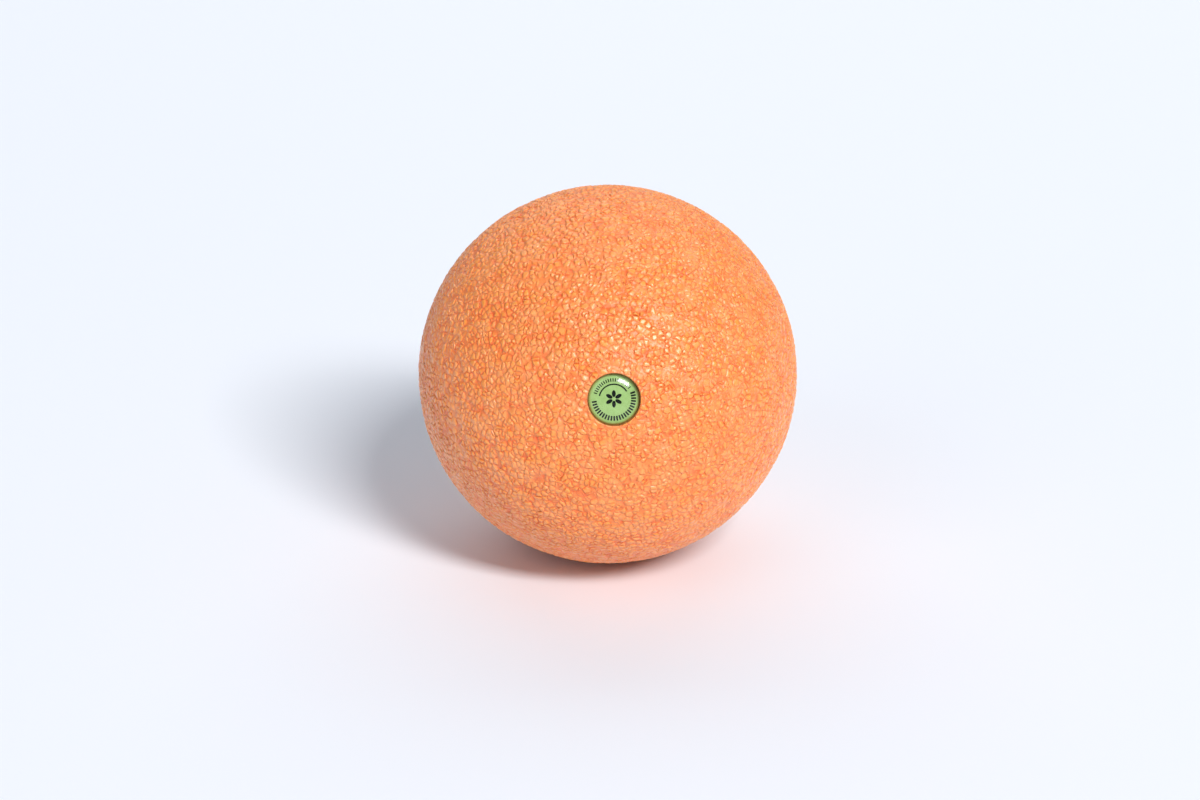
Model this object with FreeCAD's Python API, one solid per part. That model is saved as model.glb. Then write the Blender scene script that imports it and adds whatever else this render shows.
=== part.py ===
import FreeCAD, Part
import math
import os

# A foam massage ball, lying on a flat surface with its round badge turned to the front (-Y) and a
# little upwards. The origin is the centre of the ball, +Z is up, and lengths are in millimetres.
#
# The ball is one solid moulding of expanded polypropylene beads. A shallow round recess in it holds
# the badge: a disc of adhesive, a printed film, and a lens of clear resin that was poured on the film.

# Driving dimensions
ball_diameter = 120.0
badge_tilt = 15.4            # degrees from the horizontal up to the badge's axis
recess_diameter = 15.8
recess_depth = 2.25          # from the plane of the recess's rim down to its floor
rim_radius = 0.4             # the rounded edge between the recess and the ball's surface
film_diameter = 15.5
film_thickness = 0.18
adhesive_diameter = 15.0
adhesive_thickness = 0.12
lens_edge_height = 0.12      # the resin's upright edge, where it stops at the edge of the film
lens_crown_radius = 24.0     # curvature of the lens's middle
lens_crown_reach = 4.2       # distance from the axis at which the tighter edge curve takes over
lens_edge_radius = 9.8       # curvature from there out to the edge

# Heights along the badge's axis, measured from the centre of the ball
ball_radius = ball_diameter / 2
recess_radius = recess_diameter / 2
rim_height = math.sqrt(ball_radius**2 - recess_radius**2)
floor_height = rim_height - recess_depth
film_height = floor_height + adhesive_thickness
lens_height = film_height + film_thickness

origin = FreeCAD.Vector(0, 0, 0)
x_axis = FreeCAD.Vector(1, 0, 0)
z_axis = FreeCAD.Vector(0, 0, 1)


def disc(diameter, thickness, height):
    """A flat round disc on the Z axis, with its underside at the given height."""
    return Part.makeCylinder(diameter / 2, thickness, FreeCAD.Vector(0, 0, height))


def foam_ball():
    """The solid ball with its round recess at the top of the Z axis, and the recess's rim rounded."""
    ball = Part.makeSphere(ball_radius)
    recess = disc(recess_diameter, ball_radius, floor_height)
    body = ball.cut(recess)
    rim = [
        edge
        for edge in body.Edges
        if abs(edge.BoundBox.ZMin - rim_height) < 0.01 and abs(edge.BoundBox.ZMax - rim_height) < 0.01
    ]
    return body.makeFillet(rim_radius, rim)


def lens():
    """The resin lens: a flat base, a low upright edge, and a crown of two arcs that meet smoothly."""
    film_radius = film_diameter / 2
    meeting_angle = math.asin(lens_crown_reach / lens_crown_radius)
    sine_at_edge = math.sin(meeting_angle) + (film_radius - lens_crown_reach) / lens_edge_radius
    edge_angle = math.asin(sine_at_edge)
    edge_centre_x = lens_crown_reach - lens_edge_radius * math.sin(meeting_angle)
    edge_centre_z = lens_height + lens_edge_height - lens_edge_radius * math.cos(edge_angle)

    def on_edge_arc(angle):
        across = edge_centre_x + lens_edge_radius * math.sin(angle)
        up = edge_centre_z + lens_edge_radius * math.cos(angle)
        return FreeCAD.Vector(across, 0, up)

    meeting = on_edge_arc(meeting_angle)
    crown_centre_z = meeting.z - lens_crown_radius * math.cos(meeting_angle)

    def on_crown_arc(angle):
        across = lens_crown_radius * math.sin(angle)
        up = crown_centre_z + lens_crown_radius * math.cos(angle)
        return FreeCAD.Vector(across, 0, up)

    base_middle = FreeCAD.Vector(0, 0, lens_height)
    base_edge = FreeCAD.Vector(film_radius, 0, lens_height)
    top_edge = on_edge_arc(edge_angle)
    top_middle = on_crown_arc(0)
    outline = Part.Wire([
        Part.LineSegment(base_middle, base_edge).toShape(),
        Part.LineSegment(base_edge, top_edge).toShape(),
        Part.Arc(top_edge, on_edge_arc((meeting_angle + edge_angle) / 2), meeting).toShape(),
        Part.Arc(meeting, on_crown_arc(meeting_angle / 2), top_middle).toShape(),
        Part.LineSegment(top_middle, base_middle).toShape(),
    ])
    return Part.Face(outline).revolve(origin, z_axis, 360)


parts = {
    "foam_ball": foam_ball(),
    "badge_adhesive": disc(adhesive_diameter, adhesive_thickness, floor_height),
    "badge_film": disc(film_diameter, film_thickness, film_height),
    "badge_lens": lens(),
}

# Each piece is built upright, with the badge's axis along +Z, and then turned to where it lies.
turn_to_front = 90 - badge_tilt

os.makedirs("parts", exist_ok=True)
for name, shape in parts.items():
    shape.rotate(origin, x_axis, turn_to_front)
    shape.exportStep(f"parts/{name}.step")
    box = shape.BoundBox
    print(
        f"{name}: {len(shape.Solids)} solid, valid {shape.isValid()}, {shape.Volume:.2f} mm3, "
        f"X {box.XMin:.2f}..{box.XMax:.2f}, Y {box.YMin:.2f}..{box.YMax:.2f}, "
        f"Z {box.ZMin:.2f}..{box.ZMax:.2f}"
    )
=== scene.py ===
import math

import bpy
from mathutils import Matrix, Vector


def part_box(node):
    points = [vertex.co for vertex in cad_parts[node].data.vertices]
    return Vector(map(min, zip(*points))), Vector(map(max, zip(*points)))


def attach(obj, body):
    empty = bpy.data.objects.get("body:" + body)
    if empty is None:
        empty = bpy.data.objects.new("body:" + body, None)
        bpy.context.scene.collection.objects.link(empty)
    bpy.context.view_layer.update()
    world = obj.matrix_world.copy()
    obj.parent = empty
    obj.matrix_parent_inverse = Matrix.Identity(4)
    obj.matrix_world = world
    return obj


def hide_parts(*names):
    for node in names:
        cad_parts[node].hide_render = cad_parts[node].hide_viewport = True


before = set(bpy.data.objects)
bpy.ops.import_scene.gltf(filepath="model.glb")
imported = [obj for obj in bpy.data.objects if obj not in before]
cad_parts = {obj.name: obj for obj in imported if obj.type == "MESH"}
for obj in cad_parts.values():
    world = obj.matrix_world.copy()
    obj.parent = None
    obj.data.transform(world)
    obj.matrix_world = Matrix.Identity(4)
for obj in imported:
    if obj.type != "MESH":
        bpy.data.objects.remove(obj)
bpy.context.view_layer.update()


# ---------------------------------------------------------------------------------------------
# Foam ball. Beads of expanded polypropylene, blown into a round mould and fused by steam. Each
# bead keeps its own skin, flattened on top by the mould's wall, so the surface is a layer of
# small bumps with tight creases and a few open pits. A round recess takes the badge.

ball_low, ball_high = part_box("foam_ball")
film_low, film_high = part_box("badge_film")
ball_radius = (ball_high.z - ball_low.z) / 2
film_middle = (film_low + film_high) / 2
badge_axis = film_middle.normalized()
film_radius = (film_high.x - film_low.x) / 2

film_thickness = 0.00018
adhesive_thickness = 0.00012
badge_clearance = 0.00015   # the gap between the badge's edge and the recess's wall
recess_radius = film_radius + badge_clearance
film_top = film_middle.length + film_thickness / 2
recess_floor = film_top - film_thickness - adhesive_thickness

rim_rounding = 0.0004
rim_fade = 0.0008           # past the rounding, how far out the beads reach their full relief
bead_spacing = 0.00182
bead_warp = 0.0009          # how far the beads' edges wander from straight
bead_rise = 0.00054         # the height of the proudest beads, before the mould flattens them
least_rise = 0.25           # the flattest beads' rise, as a share of that
mould_level = 0.00030       # the height at which the mould's wall pressed the bead tops flat
mould_rounding = 0.00026    # how softly they turn down from there
bead_slant = 0.26           # how far bead tops lean, as a slope
bead_crease = 0.18          # how sharp the creases are: 0 is round, and bead_shoulder is a V
bead_shoulder = 0.28        # how far in from its edge a bead reaches its full height, in spacings
lump_width = 0.0042
lump_relief = 0.00042       # the whole range of the lumps that clusters of beads make
swell_width = 0.012         # slow waves in the skin
swell_relief = 0.00020
relief_below = 0.00012      # how far the relief's zero level lies below the ball's own radius
pit_spacing = 0.0034
pit_radius = 0.00042
pit_depth = 0.00025
pitless_share = 0.35        # the share of the pit pattern's cells that have no pit
pit_softness = 0.6          # how much of a pit's radius its edge takes up
wrinkle_width = 0.0007      # fine wrinkles in the beads' skins
wrinkle_depth = 0.00007
patch_width = 0.0055        # the patches where the dye took a little deeper or paler
patch_shift = 0.7           # how far a patch shifts the colour's step, in bead rises
# crease_level and top_level place the painted shade of the creases and the painted sheen of the
# tops.
crease_level = -0.20        # the height up to which the colour is a crease's, in bead rises
top_level = 0.70            # the height from which it is a bead top's
dullest_bead, brightest_bead = 0.95, 1.03
crease_roughness, top_roughness = 0.80, 0.36
# groove_shade and groove_reach set the painted shade in the groove round the badge.
groove_shade = 0.55         # how dark the groove round the badge is at the recess's wall
groove_reach = 0.7          # how far out that goes, in roundings of the rim


def linear(hex_colour):
    """An sRGB colour such as "F08040", as the linear RGBA that Blender's nodes take."""
    channels = [int(hex_colour[i:i + 2], 16) / 255 for i in (0, 2, 4)]
    return [c / 12.92 if c <= 0.04045 else ((c + 0.055) / 1.055) ** 2.4 for c in channels] + [1.0]


def add_node(tree, kind, settings=None, inputs=None):
    """Adds a node to a tree, with its settings, and its inputs as values or as outputs to link."""
    node = tree.nodes.new(kind)
    for name, value in (settings or {}).items():
        setattr(node, name, value)
    for name, value in (inputs or {}).items():
        if isinstance(value, bpy.types.NodeSocket):
            tree.links.new(value, node.inputs[name])
        else:
            node.inputs[name].default_value = value
    return node


def set_ramp(node, stops):
    """Gives a colour ramp its stops, each a position and a linear colour."""
    ramp = node.color_ramp
    while len(ramp.elements) < len(stops):
        ramp.elements.new(0.5)
    for element, (position, colour) in zip(ramp.elements, stops):
        element.position = position
        element.color = colour


def new_finish(name):
    """A new material and its node tree, emptied."""
    finish = bpy.data.materials.new(name)
    finish.use_nodes = True
    finish.node_tree.nodes.clear()
    return finish, finish.node_tree


def dress(piece, finish):
    """Gives a piece one material in place of any it has."""
    piece.data.materials.clear()
    piece.data.materials.append(finish)


def deselect_all():
    """Leaves edit mode and deselects every object."""
    if bpy.context.object and bpy.context.object.mode == "EDIT":
        bpy.ops.object.mode_set(mode="OBJECT")
    bpy.ops.object.select_all(action="DESELECT")


def add_bead_height(tree, place):
    """The height of the beads at a place on the ball, in metres, and each bead's random colour."""
    outward = add_node(tree, "ShaderNodeVectorMath", {"operation": "NORMALIZE"}, {0: place})
    on_ball = add_node(tree, "ShaderNodeVectorMath", {"operation": "SCALE"}, {
        0: outward.outputs["Vector"],
        "Scale": ball_radius,
    })
    wander = add_node(tree, "ShaderNodeTexNoise", {}, {
        "Vector": on_ball.outputs["Vector"],
        "Scale": 1 / bead_spacing,
        "Detail": 1.0,
    })
    wandering = add_node(tree, "ShaderNodeVectorMath", {"operation": "SUBTRACT"}, {
        0: wander.outputs["Color"],
        1: (0.5, 0.5, 0.5),
    })
    warped = add_node(tree, "ShaderNodeVectorMath", {"operation": "MULTIPLY_ADD"}, {
        0: wandering.outputs["Vector"],
        1: (bead_warp, bead_warp, bead_warp),
        2: on_ball.outputs["Vector"],
    })
    bead = add_node(tree, "ShaderNodeTexVoronoi", {"feature": "F1"}, {
        "Vector": warped.outputs["Vector"],
        "Scale": 1 / bead_spacing,
    })
    edge = add_node(tree, "ShaderNodeTexVoronoi", {"feature": "DISTANCE_TO_EDGE"}, {
        "Vector": warped.outputs["Vector"],
        "Scale": 1 / bead_spacing,
    })
    chance = add_node(tree, "ShaderNodeSeparateXYZ", {}, {"Vector": bead.outputs["Color"]})
    rise = add_node(tree, "ShaderNodeMapRange", {}, {
        "Value": chance.outputs["X"],
        "To Min": bead_rise * least_rise,
        "To Max": bead_rise,
    })
    from_middle = add_node(tree, "ShaderNodeVectorMath", {"operation": "SUBTRACT"}, {
        0: warped.outputs["Vector"],
        1: bead.outputs["Position"],
    })
    lean = add_node(tree, "ShaderNodeVectorMath", {"operation": "SUBTRACT"}, {
        0: bead.outputs["Color"],
        1: (0.5, 0.5, 0.5),
    })
    leaning = add_node(tree, "ShaderNodeVectorMath", {"operation": "DOT_PRODUCT"}, {
        0: from_middle.outputs["Vector"],
        1: lean.outputs["Vector"],
    })
    top = add_node(tree, "ShaderNodeMath", {"operation": "MULTIPLY_ADD"}, {
        0: leaning.outputs["Value"],
        1: bead_slant * 2,
        2: rise.outputs["Result"],
    })
    shoulder = add_node(tree, "ShaderNodeMapRange", {"interpolation_type": "SMOOTHSTEP"}, {
        "Value": edge.outputs["Distance"],
        "From Min": -bead_crease,
        "From Max": bead_shoulder,
        "To Min": -1.0,
    })
    dome = add_node(tree, "ShaderNodeMath", {"operation": "MULTIPLY"}, {
        0: top.outputs["Value"],
        1: shoulder.outputs["Result"],
    })
    lump = add_node(tree, "ShaderNodeTexNoise", {}, {
        "Vector": on_ball.outputs["Vector"],
        "Scale": 1 / lump_width,
        "Detail": 2.0,
        "Roughness": 0.45,
    })
    lumpy = add_node(tree, "ShaderNodeMath", {"operation": "MULTIPLY_ADD"}, {
        0: lump.outputs["Fac"],
        1: lump_relief,
        2: dome.outputs["Value"],
    })
    pressed = add_node(tree, "ShaderNodeMath", {"operation": "SMOOTH_MIN"}, {
        0: lumpy.outputs["Value"],
        1: lump_relief / 2 + mould_level,
        2: mould_rounding,
    })
    height = add_node(tree, "ShaderNodeMath", {"operation": "SUBTRACT"}, {
        0: pressed.outputs["Value"],
        1: lump_relief / 2,
    })
    return height.outputs["Value"], bead.outputs["Color"]


def into_mesh(piece):
    """Moves a piece's place, turn and size into its mesh, and leaves its object at the origin."""
    piece.data.transform(piece.matrix_basis)
    piece.matrix_basis = Matrix.Identity(4)


def turn_to_badge(piece):
    """Turns a piece that was modelled upright on Z so that it stands on the badge's axis."""
    into_mesh(piece)
    piece.data.transform(Matrix.Rotation(math.pi / 2 - math.asin(badge_axis.z), 4, "X"))


deselect_all()
bpy.ops.mesh.primitive_ico_sphere_add(subdivisions=8, radius=ball_radius)
foam = bpy.context.object
foam.name = "bead_foam_ball"

# The tool that cuts the recess is modelled upright on Z: a disc at the recess's floor, drawn up to
# the rim, flared out there in a quarter round, then run straight on until it is clear of the ball.
rim_turns = (0, 15, 30, 45, 60, 74)     # degrees round the rim's rounding
skirt_reach = 0.0010
skirt_rise = 0.0003
clear_height = 0.0040
rim_height = math.sqrt(ball_radius**2 - (recess_radius + rim_rounding)**2)
wall_top = rim_height - rim_rounding
flare = [
    (
        recess_radius + rim_rounding * (1 - math.cos(math.radians(turn))),
        wall_top + rim_rounding * math.sin(math.radians(turn)),
    )
    for turn in rim_turns
]
last_radius, last_height = flare[-1]
flare.append((last_radius + skirt_reach, last_height + skirt_rise))
flare.append((last_radius + skirt_reach, last_height + clear_height))
bpy.ops.mesh.primitive_circle_add(
    vertices=192,
    radius=recess_radius,
    fill_type="NGON",
    location=(0, 0, recess_floor),
)
cutter = bpy.context.object
bpy.ops.object.mode_set(mode="EDIT")
radius, height = recess_radius, recess_floor
for next_radius, next_height in flare:
    bpy.ops.mesh.extrude_region_move(
        TRANSFORM_OT_translate={"value": (0, 0, next_height - height)}
    )
    growth = next_radius / radius
    bpy.ops.transform.resize(value=(growth, growth, 1), center_override=(0, 0, 0))
    radius, height = next_radius, next_height
bpy.ops.mesh.select_all(action="SELECT")
bpy.ops.mesh.normals_make_consistent(inside=False)
bpy.ops.object.mode_set(mode="OBJECT")
turn_to_badge(cutter)
bpy.context.view_layer.objects.active = foam
recess_cut = foam.modifiers.new("recess", "BOOLEAN")
recess_cut.operation = "DIFFERENCE"
recess_cut.solver = "EXACT"
recess_cut.object = cutter
bpy.ops.object.modifier_apply(modifier="recess")
bpy.data.objects.remove(cutter)

# The beads stand out on the moulded skin, fade over the recess's rim, and are flat inside it.
skin = foam.vertex_groups.new(name="moulded_skin")
for vertex in foam.data.vertices:
    along = vertex.co.dot(badge_axis)
    from_axis = (vertex.co - badge_axis * along).length
    past_wall = (from_axis - recess_radius) / (rim_rounding + rim_fade)
    if along < 0 or past_wall > 1:
        skin.add([vertex.index], 1.0, "REPLACE")
    elif vertex.co.length > ball_radius - rim_rounding and past_wall > 0:
        skin.add([vertex.index], past_wall, "REPLACE")

swell = bpy.data.textures.new("mould_swell", "CLOUDS")
swell.noise_scale = swell_width
swell.noise_depth = 1
swelling = foam.modifiers.new("swell", "DISPLACE")
swelling.texture = swell
swelling.texture_coords = "LOCAL"
swelling.strength = swell_relief
swelling.mid_level = 0.5
swelling.vertex_group = "moulded_skin"
bpy.ops.object.modifier_apply(modifier="swell")

relief_tree = bpy.data.node_groups.new("bead_relief", "GeometryNodeTree")
relief_tree.interface.new_socket("Geometry", in_out="INPUT", socket_type="NodeSocketGeometry")
relief_tree.interface.new_socket("Geometry", in_out="OUTPUT", socket_type="NodeSocketGeometry")
plain_ball = add_node(relief_tree, "NodeGroupInput")
position = add_node(relief_tree, "GeometryNodeInputPosition")
bead_height = add_bead_height(relief_tree, position.outputs["Position"])[0]
raised = add_node(relief_tree, "ShaderNodeMath", {"operation": "SUBTRACT"}, {
    0: bead_height,
    1: relief_below,
})
on_skin = add_node(relief_tree, "GeometryNodeInputNamedAttribute", {"data_type": "FLOAT"}, {
    "Name": "moulded_skin",
})
push = add_node(relief_tree, "ShaderNodeMath", {"operation": "MULTIPLY"}, {
    0: raised.outputs["Value"],
    1: on_skin.outputs["Attribute"],
})
way_out = add_node(relief_tree, "ShaderNodeVectorMath", {"operation": "NORMALIZE"}, {
    0: position.outputs["Position"],
})
offset = add_node(relief_tree, "ShaderNodeVectorMath", {"operation": "SCALE"}, {
    0: way_out.outputs["Vector"],
    "Scale": push.outputs["Value"],
})
pushed_ball = add_node(relief_tree, "GeometryNodeSetPosition", {}, {
    "Geometry": plain_ball.outputs["Geometry"],
    "Offset": offset.outputs["Vector"],
})
add_node(relief_tree, "NodeGroupOutput", {}, {"Geometry": pushed_ball.outputs["Geometry"]})
bead_relief = foam.modifiers.new("bead_relief", "NODES")
bead_relief.node_group = relief_tree
bpy.ops.object.modifier_apply(modifier="bead_relief")
bpy.ops.object.shade_smooth_by_angle(angle=math.radians(65))

# Expanded polypropylene, dyed through, with the satin skin that steam moulding leaves on each
# bead. Bead tops are glossier and painted paler, a painted sheen; creases are painted a deeper
# orange, and pits and the groove round the badge painted dark, all painted shade. The clear coat
# stands for the skin of the flat bead tops. The bump doesn't reach it, so it gives one broad pale
# sheen.
foam_finish, foam_tree = new_finish("expanded_polypropylene")
place = add_node(foam_tree, "ShaderNodeTexCoord")
fine_height, bead_colour = add_bead_height(foam_tree, place.outputs["Object"])
patches = add_node(foam_tree, "ShaderNodeTexNoise", {}, {
    "Vector": place.outputs["Object"],
    "Scale": 1 / patch_width,
    "Detail": 2.0,
})
painted_sheen_top_colour = add_node(foam_tree, "ShaderNodeValToRGB", {}, {"Fac": patches.outputs["Fac"]})
set_ramp(painted_sheen_top_colour, [(0.36, linear("FF9832")), (0.64, linear("FF9C4E"))])
painted_shade_crease_colour = add_node(foam_tree, "ShaderNodeValToRGB", {}, {"Fac": patches.outputs["Fac"]})
set_ramp(painted_shade_crease_colour, [(0.36, linear("F65800")), (0.64, linear("F65804"))])

# Bead tops painted paler, a painted sheen, against creases painted deeper, a painted shade.
# Sockets 6 and 7 of a Mix node are its two colours.
patch_height = add_node(foam_tree, "ShaderNodeMath", {"operation": "MULTIPLY_ADD"}, {
    0: patches.outputs["Fac"],
    1: bead_rise * patch_shift,
    2: fine_height,
})
top_share = add_node(foam_tree, "ShaderNodeMapRange", {}, {
    "Value": patch_height.outputs["Value"],
    "From Min": bead_rise * crease_level,
    "From Max": bead_rise * top_level,
})
foam_colour = add_node(foam_tree, "ShaderNodeMix", {"data_type": "RGBA"}, {
    "Factor": top_share.outputs["Result"],
    6: painted_shade_crease_colour.outputs["Color"],
    7: painted_sheen_top_colour.outputs["Color"],
})
bead_chance = add_node(foam_tree, "ShaderNodeSeparateXYZ", {}, {"Vector": bead_colour})
brightness = add_node(foam_tree, "ShaderNodeMapRange", {}, {
    "Value": bead_chance.outputs["Y"],
    "To Min": dullest_bead,
    "To Max": brightest_bead,
})
bead_tint = add_node(foam_tree, "ShaderNodeHueSaturation", {}, {
    "Color": foam_colour.outputs[2],
    "Value": brightness.outputs["Result"],
})

# The open pits between beads. Their dark colour is painted shade.
pit = add_node(foam_tree, "ShaderNodeTexVoronoi", {"feature": "F1"}, {
    "Vector": place.outputs["Object"],
    "Scale": 1 / pit_spacing,
})
pit_chance = add_node(foam_tree, "ShaderNodeSeparateXYZ", {}, {"Vector": pit.outputs["Color"]})
pit_size = add_node(foam_tree, "ShaderNodeMapRange", {}, {
    "Value": pit_chance.outputs["X"],
    "From Min": pitless_share,
    "To Min": 0.0,
    "To Max": pit_radius / pit_spacing,
})
pit_reach = add_node(foam_tree, "ShaderNodeMath", {"operation": "SUBTRACT", "use_clamp": True}, {
    0: pit_size.outputs["Result"],
    1: pit.outputs["Distance"],
})
pit_share = add_node(foam_tree, "ShaderNodeMapRange", {"interpolation_type": "SMOOTHSTEP"}, {
    "Value": pit_reach.outputs["Value"],
    "From Max": pit_radius / pit_spacing * pit_softness,
})
pit_shaded_colour = add_node(foam_tree, "ShaderNodeMix", {"data_type": "RGBA"}, {
    "Factor": pit_share.outputs["Result"],
    6: bead_tint.outputs["Color"],
    7: linear("A83A10"),
})

# Painted shade in the groove round the badge, by the distance from the badge's axis on its side of
# the ball.
across_badge = add_node(foam_tree, "ShaderNodeVectorMath", {"operation": "CROSS_PRODUCT"}, {
    0: place.outputs["Object"],
    1: badge_axis,
})
badge_reach = add_node(foam_tree, "ShaderNodeVectorMath", {"operation": "LENGTH"}, {
    0: across_badge.outputs["Vector"],
})
facing_badge = add_node(foam_tree, "ShaderNodeVectorMath", {"operation": "DOT_PRODUCT"}, {
    0: place.outputs["Object"],
    1: badge_axis,
})
badge_side = add_node(foam_tree, "ShaderNodeMath", {"operation": "GREATER_THAN"}, {
    0: facing_badge.outputs["Value"],
    1: 0.0,
})
groove_share = add_node(foam_tree, "ShaderNodeMapRange", {"interpolation_type": "SMOOTHSTEP"}, {
    "Value": badge_reach.outputs["Value"],
    "From Min": recess_radius,
    "From Max": recess_radius + rim_rounding * groove_reach,
    "To Min": groove_shade,
    "To Max": 0.0,
})
groove_painted_shade = add_node(foam_tree, "ShaderNodeMath", {"operation": "MULTIPLY"}, {
    0: groove_share.outputs["Result"],
    1: badge_side.outputs["Value"],
})
groove_shaded_colour = add_node(foam_tree, "ShaderNodeMix", {"data_type": "RGBA"}, {
    "Factor": groove_painted_shade.outputs["Value"],
    6: pit_shaded_colour.outputs[2],
    7: linear("6A4212"),
})

# The bump repeats the beads and adds the wrinkles and the pits, which are finer than the mesh.
wrinkles = add_node(foam_tree, "ShaderNodeTexNoise", {}, {
    "Vector": place.outputs["Object"],
    "Scale": 1 / wrinkle_width,
    "Detail": 3.0,
    "Roughness": 0.6,
})
wrinkle_height = add_node(foam_tree, "ShaderNodeMath", {"operation": "MULTIPLY_ADD"}, {
    0: wrinkles.outputs["Fac"],
    1: wrinkle_depth,
    2: fine_height,
})
pitted_height = add_node(foam_tree, "ShaderNodeMath", {"operation": "MULTIPLY_ADD"}, {
    0: pit_share.outputs["Result"],
    1: -pit_depth,
    2: wrinkle_height.outputs["Value"],
})
surface_bump = add_node(foam_tree, "ShaderNodeBump", {}, {
    "Height": pitted_height.outputs["Value"],
    "Strength": 0.60,
    "Distance": 1.0,
})
top_gloss = add_node(foam_tree, "ShaderNodeMapRange", {}, {
    "Value": top_share.outputs["Result"],
    "To Min": crease_roughness,
    "To Max": top_roughness,
})
foam_surface = add_node(foam_tree, "ShaderNodeBsdfPrincipled", {}, {
    "Base Color": groove_shaded_colour.outputs[2],
    "Roughness": top_gloss.outputs["Result"],
    "IOR": 1.49,
    "Specular IOR Level": 0.6,
    "Coat Weight": 1.0,
    "Coat Roughness": 0.44,
    "Coat IOR": 1.5,
    "Subsurface Weight": 0.3,
    "Subsurface Radius": (1.0, 0.4, 0.15),
    "Subsurface Scale": 0.0006,
    "Normal": surface_bump.outputs["Normal"],
})
add_node(foam_tree, "ShaderNodeOutputMaterial", {}, {"Surface": foam_surface.outputs["BSDF"]})
dress(foam, foam_finish)

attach(foam, "root")
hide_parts("foam_ball")


# ---------------------------------------------------------------------------------------------
# Badge adhesive. A disc of milky acrylic transfer adhesive that holds the badge to the recess's
# floor. The film hides it, so the CAD disc stays and only takes its finish.

# Acrylic transfer adhesive: milky and soft, with the faint orange peel that its liner leaves.
liner_width = 0.0008
liner_depth = 0.00003
adhesive_finish, adhesive_tree = new_finish("acrylic_adhesive")
adhesive_place = add_node(adhesive_tree, "ShaderNodeTexCoord")
liner_mark = add_node(adhesive_tree, "ShaderNodeTexNoise", {}, {
    "Vector": adhesive_place.outputs["Object"],
    "Scale": 1 / liner_width,
    "Detail": 1.0,
})
adhesive_colour = add_node(adhesive_tree, "ShaderNodeValToRGB", {}, {
    "Fac": liner_mark.outputs["Fac"],
})
set_ramp(adhesive_colour, [(0.3, linear("DDD8C6")), (0.7, linear("E9E5D6"))])
adhesive_bump = add_node(adhesive_tree, "ShaderNodeBump", {}, {
    "Height": liner_mark.outputs["Fac"],
    "Distance": liner_depth,
})
adhesive_surface = add_node(adhesive_tree, "ShaderNodeBsdfPrincipled", {}, {
    "Base Color": adhesive_colour.outputs["Color"],
    "Roughness": 0.45,
    "IOR": 1.47,
    "Normal": adhesive_bump.outputs["Normal"],
})
add_node(adhesive_tree, "ShaderNodeOutputMaterial", {}, {
    "Surface": adhesive_surface.outputs["BSDF"],
})
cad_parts["badge_adhesive"].material_slots[0].material = adhesive_finish


# ---------------------------------------------------------------------------------------------
# Badge film. A die-cut disc of light green vinyl that carries the print. It is flat and true in
# the CAD model, so its node stays and only takes its finish.

# Calendered vinyl film: a nearly even green, a little deeper where the pigment is dense, with a
# very fine tooth. The resin wets it, so it has no gloss of its own.
pigment_width = 0.0012
tooth_width = 0.00025
tooth_depth = 0.000008
film_finish, film_tree = new_finish("green_vinyl_film")
film_place = add_node(film_tree, "ShaderNodeTexCoord")
pigment = add_node(film_tree, "ShaderNodeTexNoise", {}, {
    "Vector": film_place.outputs["Object"],
    "Scale": 1 / pigment_width,
    "Detail": 4.0,
    "Roughness": 0.6,
})
film_colour = add_node(film_tree, "ShaderNodeValToRGB", {}, {"Fac": pigment.outputs["Fac"]})
set_ramp(film_colour, [(0.3, linear("9EBD7A")), (0.7, linear("AAC88A"))])
tooth = add_node(film_tree, "ShaderNodeTexNoise", {}, {
    "Vector": film_place.outputs["Object"],
    "Scale": 1 / tooth_width,
})
film_bump = add_node(film_tree, "ShaderNodeBump", {}, {
    "Height": tooth.outputs["Fac"],
    "Distance": tooth_depth,
})
film_surface = add_node(film_tree, "ShaderNodeBsdfPrincipled", {}, {
    "Base Color": film_colour.outputs["Color"],
    "Roughness": 0.5,
    "IOR": 1.53,
    "Specular IOR Level": 0.0,
    "Normal": film_bump.outputs["Normal"],
})
add_node(film_tree, "ShaderNodeOutputMaterial", {}, {"Surface": film_surface.outputs["BSDF"]})
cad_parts["badge_film"].material_slots[0].material = film_finish


# ---------------------------------------------------------------------------------------------
# Badge print. A plain dial pattern in black screen ink: a coarse and a fine row of ticks, one thin
# arc, and six petals in the middle. It is printed on the film before the resin is poured.

ink_thickness = 0.00003
ink_sunk = 0.00001          # how deep the ink keys into the film
ink_middle = film_top - ink_sunk + ink_thickness / 2
corner_share = 0.3          # the rounding of a tick's corners, as a share of its width
ink_pieces = []


def add_tick(width, inner_radius, outer_radius, clockwise_from_top):
    """One radial bar of ink with rounded corners, at an angle in degrees round the badge."""
    deselect_all()
    length = outer_radius - inner_radius
    bpy.ops.mesh.primitive_cube_add(
        size=1,
        location=(0, (inner_radius + outer_radius) / 2, ink_middle),
    )
    tick = bpy.context.object
    tick.scale = (width, length, ink_thickness)
    into_mesh(tick)
    bpy.ops.object.mode_set(mode="EDIT")
    bpy.ops.mesh.select_all(action="DESELECT")
    bpy.ops.object.mode_set(mode="OBJECT")
    # Known fault: edit mode opens in vertex mode on the first tick, so all its edges are bevelled.
    for edge in tick.data.edges:
        ends = [tick.data.vertices[i].co for i in edge.vertices]
        edge.select = abs(ends[0].z - ends[1].z) > ink_thickness / 2
    bpy.ops.object.mode_set(mode="EDIT")
    bpy.ops.mesh.select_mode(type="EDGE")
    bpy.ops.mesh.bevel(offset=width * corner_share, segments=3)
    bpy.ops.object.mode_set(mode="OBJECT")
    tick.data.transform(Matrix.Rotation(math.radians(-clockwise_from_top), 4, "Z"))
    ink_pieces.append(tick)


def add_tick_row(width, inner_radius, outer_radius, first, last, count):
    """A row of equal ticks between two angles, in degrees clockwise from the top."""
    for i in range(count):
        add_tick(width, inner_radius, outer_radius, first + (last - first) * i / (count - 1))


add_tick_row(
    width=0.00052, inner_radius=0.00515, outer_radius=0.00665,
    first=72, last=262, count=24,
)
add_tick_row(
    width=0.00032, inner_radius=0.00520, outer_radius=0.00625,
    first=-72, last=54, count=19,
)

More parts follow.
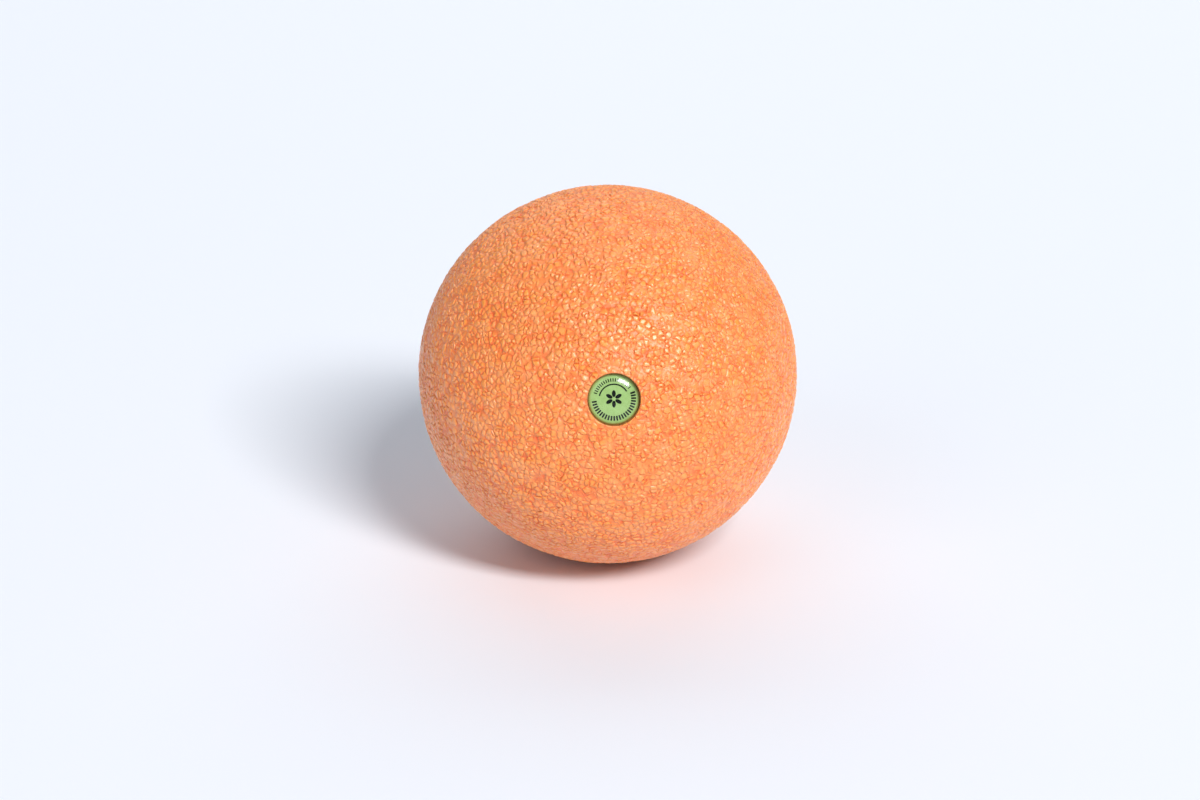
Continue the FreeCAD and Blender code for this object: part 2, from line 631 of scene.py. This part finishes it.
arc_width = 0.00042
arc_radius = 0.0044
arc_from, arc_to = -78, 60  # degrees clockwise from the top
deselect_all()
bpy.ops.mesh.primitive_plane_add(
    size=1,
    location=(0, arc_radius, ink_middle),
    rotation=(0, math.pi / 2, 0),
)
arc = bpy.context.object
arc.scale = (ink_thickness, arc_width, 1)
into_mesh(arc)
arc.data.transform(Matrix.Rotation(math.radians(-arc_from), 4, "Z"))
bpy.ops.object.mode_set(mode="EDIT")
bpy.ops.mesh.select_all(action="SELECT")
bpy.ops.mesh.spin(
    steps=64,
    angle=math.radians(arc_to - arc_from),
    center=(0, 0, 0),
    axis=(0, 0, 1),
)
bpy.ops.mesh.select_all(action="SELECT")
bpy.ops.mesh.normals_make_consistent(inside=False)
bpy.ops.object.mode_set(mode="OBJECT")
ink_pieces.append(arc)

petal_length = 0.0021
petal_width = 0.00115
petal_middle = 0.00158      # from the badge's axis to the middle of a petal
petal_count = 6
for i in range(petal_count):
    deselect_all()
    bpy.ops.mesh.primitive_cylinder_add(
        vertices=40,
        radius=0.5,
        depth=1,
        location=(0, petal_middle, ink_middle),
    )
    petal = bpy.context.object
    petal.scale = (petal_width, petal_length, ink_thickness)
    into_mesh(petal)
    petal.data.transform(Matrix.Rotation(math.tau * i / petal_count, 4, "Z"))
    ink_pieces.append(petal)

deselect_all()
for piece in ink_pieces:
    piece.select_set(True)
badge_print = ink_pieces[0]
bpy.context.view_layer.objects.active = badge_print
bpy.ops.object.join()
badge_print.name = "badge_print"
turn_to_badge(badge_print)

# Black screen ink: dense and dark, with the faint mottle of the mesh it was pushed through. Like
# the film, it has no gloss of its own under the resin.
mottle_width = 0.0003
ink_finish, ink_tree = new_finish("black_screen_ink")
ink_place = add_node(ink_tree, "ShaderNodeTexCoord")
mottle = add_node(ink_tree, "ShaderNodeTexNoise", {}, {
    "Vector": ink_place.outputs["Object"],
    "Scale": 1 / mottle_width,
    "Detail": 3.0,
})
ink_colour = add_node(ink_tree, "ShaderNodeValToRGB", {}, {"Fac": mottle.outputs["Fac"]})
set_ramp(ink_colour, [(0.3, linear("101311")), (0.7, linear("1E221D"))])
ink_surface = add_node(ink_tree, "ShaderNodeBsdfPrincipled", {}, {
    "Base Color": ink_colour.outputs["Color"],
    "Roughness": 0.45,
    "IOR": 1.5,
    "Specular IOR Level": 0.0,
})
add_node(ink_tree, "ShaderNodeOutputMaterial", {}, {"Surface": ink_surface.outputs["BSDF"]})
dress(badge_print, ink_finish)
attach(badge_print, "root")


# ---------------------------------------------------------------------------------------------
# Badge lens. Clear polyurethane resin, poured on the film and held at its edge by surface tension,
# so it sets as a dome with a low upright edge and a rounder shoulder than middle.

lens_radius = film_radius
lens_lift = 0.00004         # the lens's underside clears the ink
lens_edge_height = 0.00012
crown_radius = 0.024
crown_reach = 0.0042
shoulder_radius = 0.0098

meeting_angle = math.asin(crown_reach / crown_radius)
edge_angle = math.asin(math.sin(meeting_angle) + (lens_radius - crown_reach) / shoulder_radius)
shoulder_steps = 12
crown_steps = 8
dome = []
for i in range(1, shoulder_steps + 1):
    angle = edge_angle + (meeting_angle - edge_angle) * i / shoulder_steps
    dome.append((
        crown_reach + shoulder_radius * (math.sin(angle) - math.sin(meeting_angle)),
        lens_edge_height + shoulder_radius * (math.cos(angle) - math.cos(edge_angle)),
    ))
shoulder_top = dome[-1][1]
for i in range(1, crown_steps):
    angle = meeting_angle * (1 - i / crown_steps)
    dome.append((
        crown_radius * math.sin(angle),
        shoulder_top + crown_radius * (math.cos(angle) - math.cos(meeting_angle)),
    ))

deselect_all()
bpy.ops.mesh.primitive_circle_add(
    vertices=96,
    radius=lens_radius,
    fill_type="NGON",
    location=(0, 0, film_top + lens_lift),
)
lens = bpy.context.object
lens.name = "resin_lens"
bpy.ops.object.mode_set(mode="EDIT")
bpy.ops.mesh.extrude_region_move(
    TRANSFORM_OT_translate={"value": (0, 0, lens_edge_height - lens_lift)}
)
radius, height = lens_radius, lens_edge_height
for next_radius, next_height in dome:
    bpy.ops.mesh.inset(thickness=radius - next_radius, depth=next_height - height)
    radius, height = next_radius, next_height
bpy.ops.mesh.poke(offset=crown_radius * (1 - math.cos(meeting_angle / crown_steps)))
bpy.ops.mesh.select_all(action="SELECT")
bpy.ops.mesh.normals_make_consistent(inside=False)
bpy.ops.object.mode_set(mode="OBJECT")
turn_to_badge(lens)
bpy.ops.object.shade_smooth_by_angle(angle=math.radians(40))

# Doming polyurethane: clear and glossy. It mirrors the lamps at its shoulder and lets the print
# show through. Its edge is tinted a warm brown: painted shade, and a painted view of the foam
# beside it that a real lens would bend into view.
flow_width = 0.004          # the slow waves that the resin set with
flow_depth = 0.000008
tint_start = lens_radius * 0.91
middle_tint = (0.97, 0.98, 0.94)
edge_painted_shade = (0.84, 0.66, 0.54)
resin_finish, resin_tree = new_finish("clear_doming_resin")
resin_place = add_node(resin_tree, "ShaderNodeTexCoord")
flow = add_node(resin_tree, "ShaderNodeTexNoise", {}, {
    "Vector": resin_place.outputs["Object"],
    "Scale": 1 / flow_width,
    "Detail": 1.0,
})
flow_bump = add_node(resin_tree, "ShaderNodeBump", {}, {
    "Height": flow.outputs["Fac"],
    "Distance": flow_depth,
})
mirror_share = add_node(resin_tree, "ShaderNodeFresnel", {}, {
    "IOR": 1.49,
    "Normal": flow_bump.outputs["Normal"],
})
resin_side = add_node(resin_tree, "ShaderNodeNewGeometry")
from_outside = add_node(resin_tree, "ShaderNodeMath", {"operation": "SUBTRACT"}, {
    0: 1.0,
    1: resin_side.outputs["Backfacing"],
})
gloss_share = add_node(resin_tree, "ShaderNodeMath", {"operation": "MULTIPLY"}, {
    0: mirror_share.outputs["Fac"],
    1: from_outside.outputs["Value"],
})
across_lens = add_node(resin_tree, "ShaderNodeVectorMath", {"operation": "CROSS_PRODUCT"}, {
    0: resin_place.outputs["Object"],
    1: badge_axis,
})
lens_reach = add_node(resin_tree, "ShaderNodeVectorMath", {"operation": "LENGTH"}, {
    0: across_lens.outputs["Vector"],
})
# Sockets 7 to 10 of a vector Map Range are From Min, From Max, To Min and To Max.
resin_tint = add_node(resin_tree, "ShaderNodeMapRange", {"data_type": "FLOAT_VECTOR"}, {
    "Vector": lens_reach.outputs["Value"],
    7: (tint_start, tint_start, tint_start),
    8: (lens_radius, lens_radius, lens_radius),
    9: middle_tint,
    10: edge_painted_shade,
})
clear = add_node(resin_tree, "ShaderNodeBsdfTransparent", {}, {
    "Color": resin_tint.outputs["Vector"],
})
gloss = add_node(resin_tree, "ShaderNodeBsdfGlossy", {}, {
    "Color": (1.0, 1.0, 1.0, 1.0),
    "Roughness": 0.14,
    "Normal": flow_bump.outputs["Normal"],
})
resin_surface = add_node(resin_tree, "ShaderNodeMixShader", {}, {
    "Fac": gloss_share.outputs["Value"],
    1: clear.outputs["BSDF"],
    2: gloss.outputs["BSDF"],
})
add_node(resin_tree, "ShaderNodeOutputMaterial", {}, {"Surface": resin_surface.outputs["Shader"]})
dress(lens, resin_finish)
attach(lens, "root")
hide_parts("badge_lens")


# ---------------------------------------------------------------------------------------------
# Floor, light and camera. A pale matt studio floor, one long soft box above the front right, a
# wash on the floor behind, a faint fill from the front left, and a pale, slightly blue room.

floor_size = 12.0
deselect_all()
bpy.ops.mesh.primitive_plane_add(size=floor_size, location=(0, 0, -ball_radius))
floor = bpy.context.object
floor.name = "studio_floor"
into_mesh(floor)

# Studio paper: matt and even, with too little gloss to mirror the ball.
paper_finish, paper_tree = new_finish("matt_studio_paper")
paper_surface = add_node(paper_tree, "ShaderNodeBsdfPrincipled", {}, {
    "Base Color": linear("ECEEF4"),
    "Roughness": 0.9,
})
add_node(paper_tree, "ShaderNodeOutputMaterial", {}, {"Surface": paper_surface.outputs["BSDF"]})
dress(floor, paper_finish)


def seen_from_ball(azimuth, elevation):
    """The direction from the ball, with azimuth in degrees from the front towards +X."""
    a, e = math.radians(azimuth), math.radians(elevation)
    return Vector((math.sin(a) * math.cos(e), -math.cos(a) * math.cos(e), math.sin(e)))


def add_soft_box(name, middle, turn, length, width, watts):
    """A rectangular soft light at a place. It shines the way opposite to its turn's Z."""
    light = bpy.data.lights.new(name, "AREA")
    light.shape = "RECTANGLE"
    light.size = length
    light.size_y = width
    light.energy = watts
    lamp = bpy.data.objects.new(name, light)
    lamp.matrix_world = Matrix.Translation(middle) @ turn
    bpy.context.scene.collection.objects.link(lamp)


def turned_towards(target, middle):
    """The turn of a light at a place that shines at a target."""
    return (middle - target).to_track_quat("Z", "Y").to_matrix().to_4x4()


# The main box leans: its long side runs from its upper left to its lower right end.
key_distance = 8.0
key_way = seen_from_ball(29.0, 41.0)
long_side = (seen_from_ball(35.0, 37.0) - seen_from_ball(24.0, 45.0)).normalized()
short_side = key_way.cross(long_side).normalized()
long_side = short_side.cross(key_way).normalized()
key_turn = Matrix((long_side, short_side, key_way)).transposed().to_4x4()
add_soft_box(
    "soft_box", key_way * key_distance, key_turn, length=3.2, width=1.4, watts=625.0,
)

wash_middle = Vector((0, 1.6, 1.6))
wash_target = Vector((0, 0.9, -ball_radius))
add_soft_box(
    "backdrop_wash", wash_middle, turned_towards(wash_target, wash_middle),
    length=3.0, width=1.6, watts=19.0,
)

fill_distance = 3.0
fill_middle = seen_from_ball(-45.0, 35.0) * fill_distance
add_soft_box(
    "left_fill", fill_middle, turned_towards(Vector((0, 0, 0)), fill_middle),
    length=1.6, width=1.6, watts=9.0,
)

room = bpy.data.worlds.new("white_room")
room.use_nodes = True
room.node_tree.nodes["Background"].inputs["Color"].default_value = linear("DDEEFF")
room.node_tree.nodes["Background"].inputs["Strength"].default_value = 0.27
bpy.context.scene.world = room

camera_distance = 0.902
camera_azimuth = -1.9
camera_elevation = 22.8
aim_down = 0.524            # degrees off the ball's middle
aim_left = 0.156
camera = bpy.data.cameras.new("camera")
camera.lens = 85
camera.sensor_width = 36
camera_object = bpy.data.objects.new("camera", camera)
back = seen_from_ball(camera_azimuth, camera_elevation)
level = (-back).to_track_quat("-Z", "Y").to_matrix().to_4x4()
pitch = Matrix.Rotation(math.radians(-aim_down), 4, "X")
yaw = Matrix.Rotation(math.radians(aim_left), 4, "Y")
aim = pitch @ yaw
camera_object.matrix_world = Matrix.Translation(back * camera_distance) @ level @ aim
bpy.context.scene.collection.objects.link(camera_object)
bpy.context.scene.camera = camera_object
bpy.context.scene.view_settings.view_transform = "Standard"
